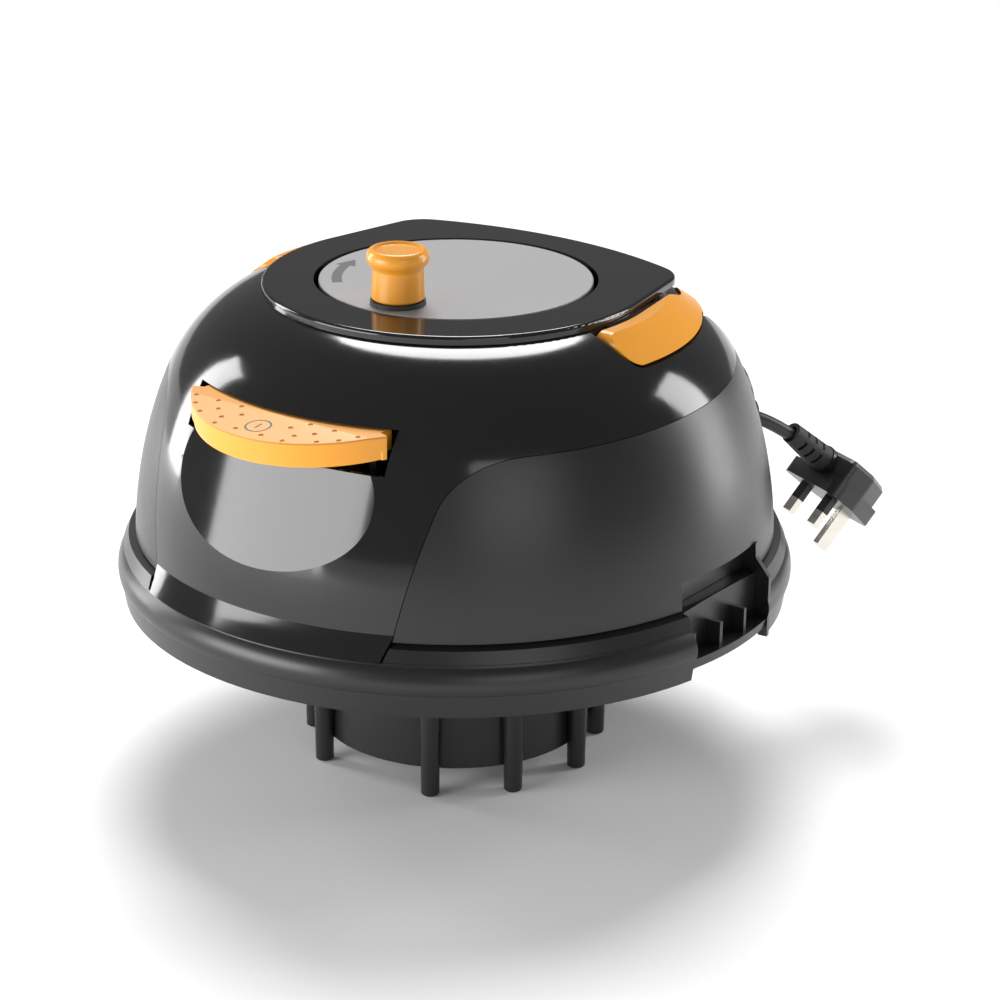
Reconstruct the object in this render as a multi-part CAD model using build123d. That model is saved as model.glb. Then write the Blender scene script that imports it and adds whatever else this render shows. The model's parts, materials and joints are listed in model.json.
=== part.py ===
from build123d import *
import math
import os

# Motor head of a tub vacuum cleaner whose mains cable is wound in by hand with a crank on its top.
# Millimetres, +Z up. The origin is on the vertical axis, in the plane of the pin tips on which the head stands.
# The front, with the switch paddle, faces -Y. The carry handle lies folded around the rear.

os.makedirs("parts", exist_ok=True)

# ---- heights, from the pin tips up
PIN_REACH = 12.5        # pins stand this far below the duct mouth
DUCT_DROP = 72.0        # duct mouth below the skirt's edge
SKIRT_H = 11.4
BEAD_H = 13.8
LIP_H = 8.1             # from the groove over the bead up to the ledge
DOME_H = 121.5          # from the ledge up to the deck under the top plate
PLATE_T = 4.0
DUCT_Z = PIN_REACH
SKIRT_Z = DUCT_Z + DUCT_DROP
WEB_Z = SKIRT_Z + SKIRT_H
GROOVE_Z = WEB_Z + BEAD_H
LEDGE_Z = GROOVE_Z + LIP_H
DECK_Z = LEDGE_Z + DOME_H
TOP_Z = DECK_Z + PLATE_T

# ---- radii of the casing
FLANGE_R = 168.0        # outermost, at the bead
LEDGE_W = 9.1           # the dome's foot stands this far inside the bead
SIDE_LEAN = 17.4        # the side draws in by this from foot to shoulder
SIDE_BULGE = 3.8
SHOULDER_H = 42.0
SHOULDER_W = 47.0       # from the shoulder in to the plate's edge
BASE_R = FLANGE_R - LEDGE_W
SHOULDER_R = BASE_R - SIDE_LEAN
PLATE_R = SHOULDER_R - SHOULDER_W
SHOULDER_Z = DECK_Z - SHOULDER_H
WALL = 2.8
SEAM_GAP = 0.3
FIT = 0.25              # clearance between parts that are assembled and stay put
RUN = 0.06              # radial clearance of a pin or shaft that turns

# ---- gloss cap: seam with the sides, and the bib that runs down the front
SEAM_DROP = 35.6        # seam below the deck, at the sides
SEAM_TILT = 1.92        # degrees, the seam rises towards the rear
BIB_HALF_TOP = 86.0
BIB_HALF_FOOT = 68.5
BIB_FILLET = 26.0
BIB_FLARE = 6.3         # the bib's foot runs out to the groove
BIB_T = WALL + 0.4

# ---- top: plate, winder disc, crank knob
DISC_R = 66.8
DISC_T = 3.5
DISC_GAP = 2.4          # open ring between disc and plate
PLATE_TAPER = 12.0      # the plate's flanks draw in by this up to the rear corners
PLATE_CORNER_Y = 0.7725 * PLATE_R
PLATE_CORNER_R = 20.0
PLATE_CROWN = 0.1852 * PLATE_R  # the rear edge bows out by this between the corners
PLATE_EDGE_R = 1.6
KNOB_ORBIT = DISC_R - 16.3
KNOB_ANGLE = -86.0
KNOB_R = 12.7
KNOB_RIM_R = 15.0
KNOB_H = 27.0
KNOB_PIN_R = 4.0
ARROW_R = DISC_R - 8.8
ARROW_W = 5.0
ARROW_FROM = 226.0
ARROW_TO = 186.0

# ---- cable reel
CABLE_D = 7.0
REEL_FLANGE_R = 80.0
REEL_CORE_R = 42.0
REEL_WOUND_R = 72.0
REEL_FLANGE_T = 2.5
REEL_DROP = 12.0        # upper flange below the top
REEL_GAP = 4.0          # under the lower flange, for the slip rings
SPINDLE_R = 6.0
RING_T = 1.2

# ---- switch paddle
PADDLE_HALF = 57.5
PADDLE_FRONT_R = 66.5
PADDLE_REACH = BASE_R + 2.1     # front edge from the axis
PADDLE_BACK = BASE_R - 40.9
PADDLE_DROP = 33.0      # its top face below the top, where it leaves the cap
PADDLE_T = 12.0
PADDLE_SLOPE = 6.8
PADDLE_PLAY = 1.1
PADDLE_PIN_R = 2.0
PADDLE_LIP = 4.2
DIMPLE_R = 1.7

# ---- finger scoop under the paddle
SCOOP_R = 230.0
SCOOP_TILT = 18.5
SCOOP_FOOT_Z = LEDGE_Z + 24.5
SCOOP_HALF = 60.0

# ---- carry handle
HANDLE_GAP = 2.8        # between plate and handle, in plan
HANDLE_T = 6.5
HANDLE_END_R = 6.3
HANDLE_PIVOT_Y = -13.5
HANDLE_PIVOT_DROP = 10.6
HANDLE_DIP = 20.0       # the grip behind lies this much lower than the arms
GRIP_DEEPEN = 4.5
ARM_REACH = 9.0         # from the plate's edge out to the arms' upper edge
ARM_FACE_W = 17.5       # plan width of the arms' outer face
HANDLE_SLOPE = 37.5     # degrees, the arms' outer face
GRIP_SLOPE = 76.0
HANDLE_PLAY = 1.3
HANDLE_PIN_R = 2.5
WELL_HALF = 78.0
WELL_DROP = 56.0        # floor of the grip well below the top
WELL_WALL = 2.4

# ---- clamp pockets at the two sides
POCKET_HALF = 31.5
POCKET_DEPTH = 10.0
POCKET_H = 14.0         # above the ledge
SKIRT_STEP = 6.0        # the skirt is this much shallower at a pocket

# ---- rear cover and cable outlet
COVER_HALF = 100.0
COVER_TOP_DROP = 57.0
COVER_BOTTOM_DROP = 102.0
COVER_PROUD = 4.0
COVER_CORNER_R = 12.0
OUTLET_ANGLE = 55.5     # about +Z from +X
OUTLET_DROP = 88.0
OUTLET_DIP = 20.0       # degrees below level
GLAND_R = 8.5

# ---- cable stub and plug
STUB_RUN = 18.0         # from the gland to the bend
PLUG_RUN = 35.5         # from the bend to the plug
PLUG_YAW = 65.5         # about +Z from +X, the plug hangs along this
PLUG_DIP = 41.6
BOOT_L = 27.0
BOOT_R = 5.6
BOOT_ROOT_R = 7.4
PLUG_W = 46.0
PLUG_TIP_W = 25.0
PLUG_L = 42.5
PLUG_T = 22.0
PLUG_BACK = 11.5        # from the cable's end of the plug to the line of the live pins
PLUG_CORNER_R = 7.0
BOOT_HEIGHT = 14.0      # of the cable over the plug's pin face
PIN_W = 6.35
PIN_T = 4.0
PIN_L = 17.7
PIN_SPREAD = 22.2
EARTH_W = 8.0
EARTH_L = 22.7
SLEEVE_L = 9.0

# ---- duct and pins under the head
DUCT_R = 68.5
DUCT_WALL = 2.5
MOUTH_DEPTH = 6.0
PIN_CIRCLE_R = 72.3
PIN_TIP_R = 4.5
PIN_ROOT_R = 6.0
PIN_ANGLES = (27.5, 60.5, 94.5, 128.0, 161.0)

# ---- motor
FAN_R = 60.0
FAN_H = 36.0
FRAME_R = 49.0
FRAME_T = 2.5
STACK_R = 45.5
STACK_BORE_R = 27.0
ROTOR_R = 26.4
STACK_H = DOME_H - 81.5
SHAFT_R = 5.0
BEARING_R = 11.0
BEARING_T = 7.0
COMM_R = 13.0
COMM_H = 13.0
HOOD_R = 75.0
HOOD_WALL = 2.5
SCREW_R = 2.0
SCREW_HEAD_R = 4.0

FAR = 600.0             # longer than anything it cuts


# ---- helpers
def save(name, shape):
    """Write one node as STEP."""
    export_step(shape, f"parts/{name}.step")


def turned(points, angle=360.0):
    """A closed outline of (radius, height) points, turned about the vertical axis."""
    face = make_face(Polyline([(r, 0, z) for r, z in points], close=True))
    return revolve(face, Axis.Z, angle)


def ring(outer, inner, low, high):
    """A plain ring or tube about the vertical axis."""
    return turned([(inner, low), (outer, low), (outer, high), (inner, high)])


def disc(radius, low, high):
    """A plain disc about the vertical axis."""
    return Pos(0, 0, low) * Cylinder(radius, high - low, align=(Align.CENTER, Align.CENTER, Align.MIN))


def block(x0, x1, y0, y1, z0, z1):
    """A box from its lowest to its highest corner."""
    return Pos(x0, y0, z0) * Box(x1 - x0, y1 - y0, z1 - z0, align=(Align.MIN, Align.MIN, Align.MIN))


def rod_x(radius, x0, x1, y, z):
    """A round bar along X."""
    bar = Cylinder(radius, x1 - x0, align=(Align.CENTER, Align.CENTER, Align.MIN))
    return Pos(x0, y, z) * Rot(0, 90, 0) * bar


def around(shape, angles):
    """Copies of a shape turned about the vertical axis."""
    return [Rot(0, 0, a) * shape for a in angles]


def mirrored(shape):
    """The shape and its mirror image across the YZ plane."""
    return [shape, mirror(shape, Plane.YZ)]


def polar(radius, degrees, z=0.0):
    """A point at a radius and an angle about +Z."""
    a = math.radians(degrees)
    return Vector(radius * math.cos(a), radius * math.sin(a), z)


def screw(length):
    """A pan-head screw, its head's seat at the origin and its shank along -Z."""
    head = Cylinder(SCREW_HEAD_R, 2.4, align=(Align.CENTER, Align.CENTER, Align.MIN))
    head -= Pos(0, 0, 1.2) * Box(5.0, 1.0, 3.0, align=(Align.CENTER, Align.CENTER, Align.MIN))
    head -= Pos(0, 0, 1.2) * Box(1.0, 5.0, 3.0, align=(Align.CENTER, Align.CENTER, Align.MIN))
    return head + Cylinder(SCREW_R, length, align=(Align.CENTER, Align.CENTER, Align.MAX))


# ---- the dome's outline: a long side arc, and a tighter shoulder arc tangent to it
side_mid = Vector((BASE_R + SHOULDER_R) / 2 + SIDE_BULGE, 0, (LEDGE_Z + SHOULDER_Z) / 2)
side_arc = ThreePointArc((BASE_R, 0, LEDGE_Z), side_mid, (SHOULDER_R, 0, SHOULDER_Z))
shoulder_arc = TangentArc((SHOULDER_R, 0, SHOULDER_Z), (PLATE_R, 0, DECK_Z), tangent=side_arc % 1)
SIDE_C, SIDE_RAD = side_arc.arc_center, side_arc.radius
SHOULDER_C, SHOULDER_RAD = shoulder_arc.arc_center, shoulder_arc.radius


def side_r(z, inset=0.0):
    """Radius of the dome's side at a height, set in by its wall."""
    return SIDE_C.X + math.sqrt((SIDE_RAD - inset) ** 2 - (z - SIDE_C.Z) ** 2)


def shoulder_r(z, inset=0.0):
    """Radius of the dome's shoulder at a height."""
    return SHOULDER_C.X + math.sqrt((SHOULDER_RAD - inset) ** 2 - (z - SHOULDER_C.Z) ** 2)


def arc_between(centre, radius, start, end):
    """The short arc about a centre between two points on its circle."""
    middle = (start - centre) + (end - centre)
    return ThreePointArc(start, centre + middle.normalized() * radius, end)


def dome(inset=0.0, low=LEDGE_Z):
    """The whole dome as one solid, set in by a wall thickness, or out by a negative one."""
    foot = Vector(side_r(low, inset), 0, low)
    out = (Vector(SHOULDER_R, 0, SHOULDER_Z) - SIDE_C).normalized()
    joint = SIDE_C + out * (SIDE_RAD - inset)
    deck = DECK_Z - inset
    rim = Vector(shoulder_r(deck, inset), 0, deck)
    edges = [
        Line((0, 0, low), foot),
        arc_between(SIDE_C, SIDE_RAD - inset, foot, joint),
        arc_between(SHOULDER_C, SHOULDER_RAD - inset, joint, rim),
        Line(rim, (0, 0, deck)),
        Line((0, 0, deck), (0, 0, low)),
    ]
    return revolve(make_face(edges), Axis.Z)


def gloss_zone(grow=0.0):
    """The space of the gloss cap: all above the seam, and the bib down the front."""
    seam = -grow
    low = LEDGE_Z - DECK_Z - FAR
    per_drop = (BIB_HALF_TOP - BIB_HALF_FOOT) / (DECK_Z - SEAM_DROP - GROOVE_Z)
    foot_x = BIB_HALF_TOP + per_drop * low
    outline = Polyline(
        [(-FAR, FAR), (FAR, FAR), (FAR, seam), (BIB_HALF_TOP + grow, seam), (foot_x + grow, low),
         (-foot_x - grow, low), (-BIB_HALF_TOP - grow, seam), (-FAR, seam)], close=True)
    front = make_face(outline)
    corners = [v for v in front.vertices() if abs(abs(v.X) - BIB_HALF_TOP - grow) < 0.01 and abs(v.Y - seam) < 0.01]
    front = fillet(corners, BIB_FILLET - grow)
    bib = extrude(Plane.XZ * front, FAR)
    rear = block(-FAR, FAR, -0.01, FAR, seam, FAR)
    return Pos(0, 0, DECK_Z - SEAM_DROP) * Rot(SEAM_TILT, 0, 0) * (bib + rear)


def scoop_tool(depth=0.0):
    """What the finger scoop takes away: the space in front of a leaning, gently crowned face."""
    face_y = -side_r(SCOOP_FOOT_Z) + depth
    lean = Pos(0, face_y, SCOOP_FOOT_Z) * Rot(-SCOOP_TILT, 0, 0) * Pos(0, SCOOP_R, 0) * Cylinder(SCOOP_R, FAR)
    top = TOP_Z - PADDLE_DROP - PADDLE_T
    return block(-SCOOP_HALF, SCOOP_HALF, -FAR, -BASE_R * 0.6, LEDGE_Z, top) - lean


# ---- the handle's own surfaces
PIVOT_Z = TOP_Z - HANDLE_PIVOT_DROP
ARM_TOP_R = PLATE_R + ARM_REACH
ELBOW_R = ARM_TOP_R + ARM_FACE_W
ELBOW_Z = PIVOT_Z + HANDLE_END_R - ARM_FACE_W * math.tan(math.radians(HANDLE_SLOPE))
HANDLE_IN_R = PLATE_R + HANDLE_GAP
HUB_IN = math.sqrt(HANDLE_IN_R ** 2 - (HANDLE_PIVOT_Y - HANDLE_END_R) ** 2)    # the hub's narrowest, at its front
UPPER_BEND = (0.74, 1.08)   # in plate radii behind the axis, where the upper edge dips
LOWER_BEND = (0.80, 1.06)
HANDLE_BEND_R = 14.0
HANDLE_REACH = 58.0


def under_slope(degrees, inset):
    """All that lies under a sloping line through the handle's elbow, turned about the axis and set in."""
    a = math.radians(degrees)
    r0, z0 = ELBOW_R - math.sin(a) * inset, ELBOW_Z - math.cos(a) * inset
    peak = (0.0, z0 + r0 * math.tan(a))
    foot = (r0 + FAR / 3 * math.cos(a), z0 - FAR / 3 * math.sin(a))
    return turned([peak, foot, (0.0, foot[1])])


def handle_core(inset):
    """The body of revolution whose skin the handle follows: sloping arms, a steeper grip."""
    return under_slope(HANDLE_SLOPE, inset) & under_slope(GRIP_SLOPE, inset)


def handle_side(grow, top_open=False):
    """The handle seen from the side, as a prism across the head: level arms, then a dip to the grip."""
    high = HANDLE_END_R + grow
    y0 = HANDLE_PIVOT_Y
    end = PLATE_R + HANDLE_REACH
    up_from, up_to = (PLATE_R * k for k in UPPER_BEND)
    low_from, low_to = (PLATE_R * k - grow for k in LOWER_BEND)
    grip_high, grip_low = high - HANDLE_DIP, -high - HANDLE_DIP - GRIP_DEEPEN
    top = [(end, FAR), (y0, FAR)] if top_open else [(end, grip_high), (up_to, grip_high), (up_from, high), (y0, high)]
    face = make_face(Polyline([(y0, -high), (low_from, -high), (low_to, grip_low), (end, grip_low)] + top, close=True))
    face = fillet([v for v in face.vertices() if min(low_from, up_from) - 1 < v.X < low_to + 1], HANDLE_BEND_R)
    side = Pos(-FAR / 2, 0, PIVOT_Z) * (Plane.YZ * extrude(face, FAR, dir=(0, 0, 1)))
    side += rod_x(high, -FAR / 2, FAR / 2, y0, PIVOT_Z)
    if top_open:
        side += block(-FAR / 2, FAR / 2, y0 - high, y0 + 1, PIVOT_Z, PIVOT_Z + FAR)
    return side


def inside_handle(grow=0.0):
    """What lies within the handle in plan: the plate's outline, wider by the gap between them."""
    return Pos(0, 0, -FAR / 2) * extrude(plate_outline(HANDLE_GAP - grow), FAR * 2)


def handle_channel(grow=0.0):
    """The space that the handle and its swing take from the cap, open upwards."""
    play = HANDLE_PLAY + grow
    hollow = handle_side(play, top_open=True) - handle_core(HANDLE_T + play) - inside_handle(play)
    hub = rod_x(HANDLE_END_R + play, HUB_IN - play, FAR, HANDLE_PIVOT_Y, PIVOT_Z)
    return [hollow, hub, mirror(hub, Plane.YZ)]


WELL_Y = PLATE_CORNER_Y + PLATE_CROWN + 1.5


def well_zone(grow=0.0):
    """The space of the grip well behind the plate, open upwards and to the rear."""
    floor = TOP_Z - WELL_DROP - grow
    return block(-WELL_HALF - grow, WELL_HALF + grow, WELL_Y - grow, FAR, floor, FAR)


def pocket_zone(grow=0.0):
    """The clamp pocket at +X."""
    deep = side_r(LEDGE_Z) - POCKET_DEPTH - grow
    return block(deep, FAR, -POCKET_HALF - grow, POCKET_HALF + grow, -FAR, LEDGE_Z + POCKET_H + grow)


# ---- casing
def make_top_shell():
    """Gloss cap with its bib, the deck under the plate, the handle channels and the scoop."""
    channel_out, channel_in = handle_channel(), handle_channel(WALL)
    outer = dome() - scoop_tool() - channel_out
    inner = dome(WALL, LEDGE_Z - 1) - scoop_tool(WALL) - channel_in
    shell = (outer - inner) & gloss_zone()
    shell -= disc(DISC_R + 6.0, DECK_Z - FAR / 2, FAR)
    shell -= well_zone(WELL_WALL + FIT)
    slot_low = TOP_Z - PADDLE_DROP - PADDLE_T - 6.5
    shell -= block(-PADDLE_HALF - PADDLE_PLAY, PADDLE_HALF + PADDLE_PLAY, -FAR, -PADDLE_BACK + 40,
                   slot_low, TOP_Z - PADDLE_DROP + 0.9)
    foot_r = BASE_R + BIB_FLARE
    inner_r = BASE_R - BIB_T
    top = LEDGE_Z + 7.0
    buried = side_r(top) - WALL / 2
    section = [
        Polyline((inner_r, 0, GROOVE_Z), (foot_r, 0, GROOVE_Z)),
        ThreePointArc((foot_r, 0, GROOVE_Z), (BASE_R + 1.6, 0, LEDGE_Z), (buried, 0, top)),
        Polyline((buried, 0, top), (inner_r, 0, top - 1.0), (inner_r, 0, GROOVE_Z)),
    ]
    foot = revolve(make_face(section), Axis.Z) & gloss_zone() & block(-FAR, FAR, -FAR, 0, -FAR, FAR)
    boss = rod_x(BOSS_R, HANDLE_IN_R - BOSS_L, BOSS_END, HANDLE_PIVOT_Y, PIVOT_Z)
    boss = (boss & dome(0.5)) - handle_channel()
    shell += foot
    for piece in mirrored(boss):
        shell += piece
    for bore in mirrored(rod_x(BUSH_R, 0, HANDLE_IN_R, HANDLE_PIVOT_Y, PIVOT_Z)):
        shell -= bore
    return shell


BUSH_R = HANDLE_PIN_R + 1.4
BOSS_R = 6.0
BOSS_L = 13.5
BOSS_END = HUB_IN - HANDLE_PLAY


CORNER_X = PLATE_R - PLATE_TAPER


def plate_outline(grow=0.0):
    """The plate's plan: round in front, flanks that leave the round towards the corners, a bowed rear edge."""
    r = PLATE_R + grow
    corner = Vector(CORNER_X + grow, PLATE_CORNER_Y + grow * 0.8)
    turn = math.atan2(corner.Y, corner.X) - math.acos(r / corner.length)
    touch = Vector(r * math.cos(turn), r * math.sin(turn))
    other_corner, other_touch = Vector(-corner.X, corner.Y), Vector(-touch.X, touch.Y)
    plan = make_face([
        ThreePointArc(other_touch, (0, -r), touch),
        Line(touch, corner),
        ThreePointArc(corner, (0, PLATE_CORNER_Y + PLATE_CROWN + grow), other_corner),
        Line(other_corner, other_touch),
    ])
    return fillet([v for v in plan.vertices() if v.Y > touch.Y + 1], PLATE_CORNER_R + grow)


def make_top_plate():
    """Gloss plate around the winder disc."""
    plate = extrude(Pos(0, 0, DECK_Z) * plate_outline(), PLATE_T)
    rim = plate.edges().filter_by(lambda e: abs(e.center().Z - TOP_Z) < 0.01)
    plate = fillet(rim, PLATE_EDGE_R)
    return plate - disc(DISC_R + DISC_GAP, 0, FAR)


def make_side_shell():
    """Satin sides between the seam and the ledge, with clamp pockets and openings at the rear."""
    outer = dome(0, LEDGE_Z + FIT)
    inner = dome(WALL, LEDGE_Z - 1)
    for tool_out, tool_in in zip(mirrored(pocket_zone()), mirrored(pocket_zone(WALL))):
        outer -= tool_out
        inner -= tool_in
    shell = outer - inner - gloss_zone(SEAM_GAP)
    shell -= well_zone(WELL_WALL + FIT)
    shell -= exhaust_window()
    return shell - outlet_bore(GLAND_R + FIT)


def exhaust_window():
    """The opening in the sides behind the rear cover's louvres."""
    low = TOP_Z - COVER_BOTTOM_DROP + 8
    high = TOP_Z - COVER_TOP_DROP - 8
    return block(-COVER_HALF * 0.36, COVER_HALF * 0.36, 0, FAR, low, high)


OUTLET_Z = TOP_Z - OUTLET_DROP
OUTLET_SKIN_R = side_r(OUTLET_Z, -COVER_PROUD)
outlet_point = polar(OUTLET_SKIN_R, OUTLET_ANGLE, OUTLET_Z)
outlet_out = Vector(1, 0, 0).rotate(Axis.Y, OUTLET_DIP).rotate(Axis.Z, OUTLET_ANGLE)


def outlet_plane(along):
    """A plane across the cable outlet, some way out from the cover's skin."""
    return Plane(origin=outlet_point + outlet_out * along, z_dir=outlet_out)


def outlet_bore(radius):
    """A round bar through the outlet."""
    return outlet_plane(-14) * Cylinder(radius, 40, align=(Align.CENTER, Align.CENTER, Align.MIN))


def make_rear_cover():
    """Raised cover at the rear: louvres in the middle, the cable outlet beside them."""
    low, high = -COVER_BOTTOM_DROP, -COVER_TOP_DROP
    outline = Pos(0, (low + high) / 2) * RectangleRounded(2 * COVER_HALF, high - low, COVER_CORNER_R)
    prism = Pos(0, 0, TOP_Z) * extrude(Plane.XZ * outline, -FAR)
    cover = (dome(-COVER_PROUD) - dome(-0.2, LEDGE_Z - 1)) & prism
    cover -= well_zone(WELL_WALL + FIT)
    louvre = COVER_HALF * 0.3
    count = 5
    pitch = (high - low - 18) / count
    for i in range(count):
        z = TOP_Z + low + 9 + pitch * (i + 0.5)
        cover -= block(-louvre, louvre, 0, FAR, z - pitch * 0.22, z + pitch * 0.22)
    return cover - outlet_bore(GLAND_R + FIT)


def make_grip_well():
    """Tray that closes the hand space under the folded handle."""
    hollow = dome(0.0, LEDGE_Z) & well_zone(WELL_WALL)
    hollow -= well_zone()
    hollow -= handle_channel(0.4)
    return hollow & block(-FAR, FAR, 0, FAR, 0, DECK_Z)


def make_flange_ring():
    """Ring at the foot of the dome: ledge, lip, groove, bead and skirt, with a spigot inside."""
    spigot_out = side_r(LEDGE_Z + 8, WALL) - FIT
    spigot_in = spigot_out - WALL
    lip_r = FLANGE_R - 2.9
    bead_top = GROOVE_Z - 1.2
    bead_mid = WEB_Z + BEAD_H * 0.42
    skirt_top_r, skirt_low_r = FLANGE_R - 1.3, FLANGE_R - 3.0
    edges = [
        Polyline((spigot_in, 0, WEB_Z - 3), (spigot_in, 0, LEDGE_Z + 7), (spigot_out, 0, LEDGE_Z + 7),
                 (spigot_out, 0, LEDGE_Z), (FLANGE_R - 5.6, 0, LEDGE_Z - 1.6), (lip_r, 0, GROOVE_Z + 0.9),
                 (FLANGE_R - 4.2, 0, GROOVE_Z), (FLANGE_R - 3.6, 0, bead_top)),
        ThreePointArc((FLANGE_R - 3.6, 0, bead_top), (FLANGE_R, 0, bead_mid), (FLANGE_R - 0.6, 0, WEB_Z)),
        Polyline((FLANGE_R - 0.6, 0, WEB_Z), (skirt_top_r, 0, WEB_Z - 0.5), (skirt_low_r, 0, SKIRT_Z),
                 (skirt_low_r - WALL, 0, SKIRT_Z), (skirt_low_r - WALL, 0, WEB_Z - 3),
                 (spigot_in, 0, WEB_Z - 3)),
    ]
    body = revolve(make_face(edges), Axis.Z)
    for side in (1, -1):
        beside = block(BASE_R * 0.85, FAR, -POCKET_HALF - WALL - 0.5, POCKET_HALF + WALL + 0.5, LEDGE_Z, FAR)
        body -= Rot(0, 0, 0 if side > 0 else 180) * beside
    bib_notch = ring(FAR, BASE_R - BIB_T - FIT, GROOVE_Z - 0.15, FAR)
    body -= bib_notch & gloss_zone(1.2) & block(-FAR, FAR, -FAR, 0, -FAR, FAR)
    shelf_r = BASE_R - POCKET_DEPTH + WALL
    rib_r = FLANGE_R - 3.2
    for side in (1, -1):
        pocket = block(spigot_out + 0.8, FAR, -POCKET_HALF, POCKET_HALF, WEB_Z, FAR)
        step = block(BASE_R, FAR, -POCKET_HALF, POCKET_HALF + 2, -FAR, SKIRT_Z + SKIRT_STEP)
        body -= Rot(0, 0, 0 if side > 0 else 180) * mirror_y(pocket + step, side)
        sill = block(shelf_r - 2 * WALL - 1.0, FAR, -POCKET_HALF - 2, POCKET_HALF + 2, LEDGE_Z - 2.5, LEDGE_Z)
        body += Rot(0, 0, 0 if side > 0 else 180) * (sill & disc(spigot_out, 0, FAR))
        for y in (-POCKET_HALF + 1.4, -POCKET_HALF / 3, POCKET_HALF / 3):
            rib = block(spigot_out, rib_r, y - 1.1, y + 1.1, WEB_Z - 1, GROOVE_Z - 2)
            rib &= disc(rib_r, 0, FAR)
            body += Rot(0, 0, 0 if side > 0 else 180) * mirror_y(rib, side)
        fin_top = LEDGE_Z + POCKET_H
        fin = block(shelf_r, FAR, POCKET_HALF + 0.3, POCKET_HALF + 3.2, SKIRT_Z + 1, fin_top)
        fin &= ring(FLANGE_R - 0.8, 0, 0, LEDGE_Z - 2) + turned(
            [(0, LEDGE_Z - 2), (FLANGE_R - 0.8, LEDGE_Z - 2), (side_r(fin_top) + 1.6, fin_top - 7),
             (side_r(fin_top) + 1.2, fin_top), (0, fin_top)])
        fin -= dome(-0.2, LEDGE_Z - 1) + disc(FLANGE_R - 3.0 - WALL, 0, WEB_Z - 2.9)
        body += Rot(0, 0, 0 if side > 0 else 180) * mirror_y(fin, side)
    return body


def mirror_y(shape, side):
    """The shape as it is at +X, or mirrored front to back for the half-turn to -X."""
    return shape if side > 0 else mirror(shape, Plane.XZ)


def make_gasket():
    """Rubber ring under the web, which seals on the tub's rim."""
    outer = FLANGE_R - 3.0 - WALL - 0.6
    return ring(outer, outer - 9.0, WEB_Z - 6.0, WEB_Z - 3.0)


PAN_T = 3.0
PAN_R = side_r(LEDGE_Z + 8, WALL) - FIT - WALL


def make_base_pan():
    """Floor of the head between the flange ring and the duct, with stiffening ribs."""
    pan = ring(PAN_R - FIT, DUCT_R + FIT, WEB_Z - 3, WEB_Z - 3 + PAN_T)
    pan += ring(PAN_R - FIT, PAN_R - FIT - 2.4, WEB_Z - 3, WEB_Z + 9)
    rib = block(HOOD_R + 14, PAN_R - FIT - 1.0, -1.2, 1.2, WEB_Z - 1, WEB_Z + 7)
    for piece in around(rib, [22.5 + 45 * i for i in range(8)]):
        pan += piece
    for bore in around(Pos(HOOD_R + 5.5, 0, WEB_Z) * Cylinder(SCREW_R + 0.15, 30), HOOD_SCREWS):
        pan -= bore
    return pan


HOOD_SCREWS = (45, 135, 225, 315)
CUP_FLANGE_R = HOOD_R + 11.0


def make_intake_duct():
    """Cup around the fan, open below, with a flange on the pan and ten tapered pins."""
    top = WEB_Z + 2.5
    cup = ring(DUCT_R, DUCT_R - DUCT_WALL, DUCT_Z, top)
    cup += ring(CUP_FLANGE_R, DUCT_R - DUCT_WALL, WEB_Z + 0.05, top)
    ledge_z = DUCT_Z + MOUTH_DEPTH + 3.2
    cup += ring(DUCT_R - DUCT_WALL + 0.5, DUCT_R - DUCT_WALL - 4.0, ledge_z, ledge_z + 2.5)
    length = WEB_Z - 3.3
    for angle in PIN_ANGLES:
        for a in (angle, -angle):
            pin = Pos(*polar(PIN_CIRCLE_R, a - 90, length / 2)) * Rot(0, 0, 0) * Cone(PIN_TIP_R, PIN_ROOT_R, length)
            tip = pin.edges().sort_by(Axis.Z)[0]
            pin = fillet(tip, 1.4)
            pin -= disc(DUCT_R - DUCT_WALL * 0.5, -1, FAR)
            cup += pin
    for bore in around(Pos(HOOD_R + 5.5, 0, WEB_Z) * Cylinder(SCREW_R + 0.15, 30), HOOD_SCREWS):
        cup -= bore
    return cup


def make_intake_grille():
    """Slotted guard across the duct mouth."""
    low = DUCT_Z + MOUTH_DEPTH
    guard = disc(DUCT_R - DUCT_WALL - FIT, low, low + 3.0)
    for r0, r1, n in ((12, 32, 8), (37, 59, 16)):
        slot = block(r0, r1, -2.6, 2.6, low - 1, low + 4)
        for piece in around(slot, [360 / n * i for i in range(n)]):
            guard -= piece
    return guard


# ---- motor, upright in the duct and the hood
SEAL_Z = DUCT_Z + MOUTH_DEPTH + 5.7
FAN_Z = SEAL_Z + 3.0
FAN_TOP = FAN_Z + FAN_H
HOOD_TOP = TOP_Z - REEL_DROP - 2 * REEL_FLANGE_T - 51.0 - REEL_GAP - 7.5
HOOD_LOW = WEB_Z + 2.5
FRAME_TOP = HOOD_TOP - HOOD_WALL - 8.0
STACK_Z = FAN_TOP + 14.0
COMM_Z = FRAME_TOP - 4.0 - BEARING_T - 4.0 - COMM_H


def make_motor_hood():
    """Cover over the motor, with air windows, which also carries the reel's spindle."""
    hood = ring(HOOD_R, HOOD_R - HOOD_WALL, HOOD_LOW, HOOD_TOP) + disc(HOOD_R, HOOD_TOP - HOOD_WALL, HOOD_TOP)
    hood += ring(CUP_FLANGE_R, HOOD_R - HOOD_WALL, HOOD_LOW, HOOD_LOW + 2.5)
    window = block(HOOD_R - 10, HOOD_R + 10, -11, 11, HOOD_LOW + 10, HOOD_LOW + 34)
    for piece in around(window, [60 * i + 15 for i in range(6)]):
        hood -= piece
    for bore in around(Pos(HOOD_R + 5.5, 0, HOOD_LOW) * Cylinder(SCREW_R + 0.15, 30), HOOD_SCREWS):
        hood -= bore
    return hood - disc(SPINDLE_R, HOOD_TOP - 10, HOOD_TOP + 10)


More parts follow.
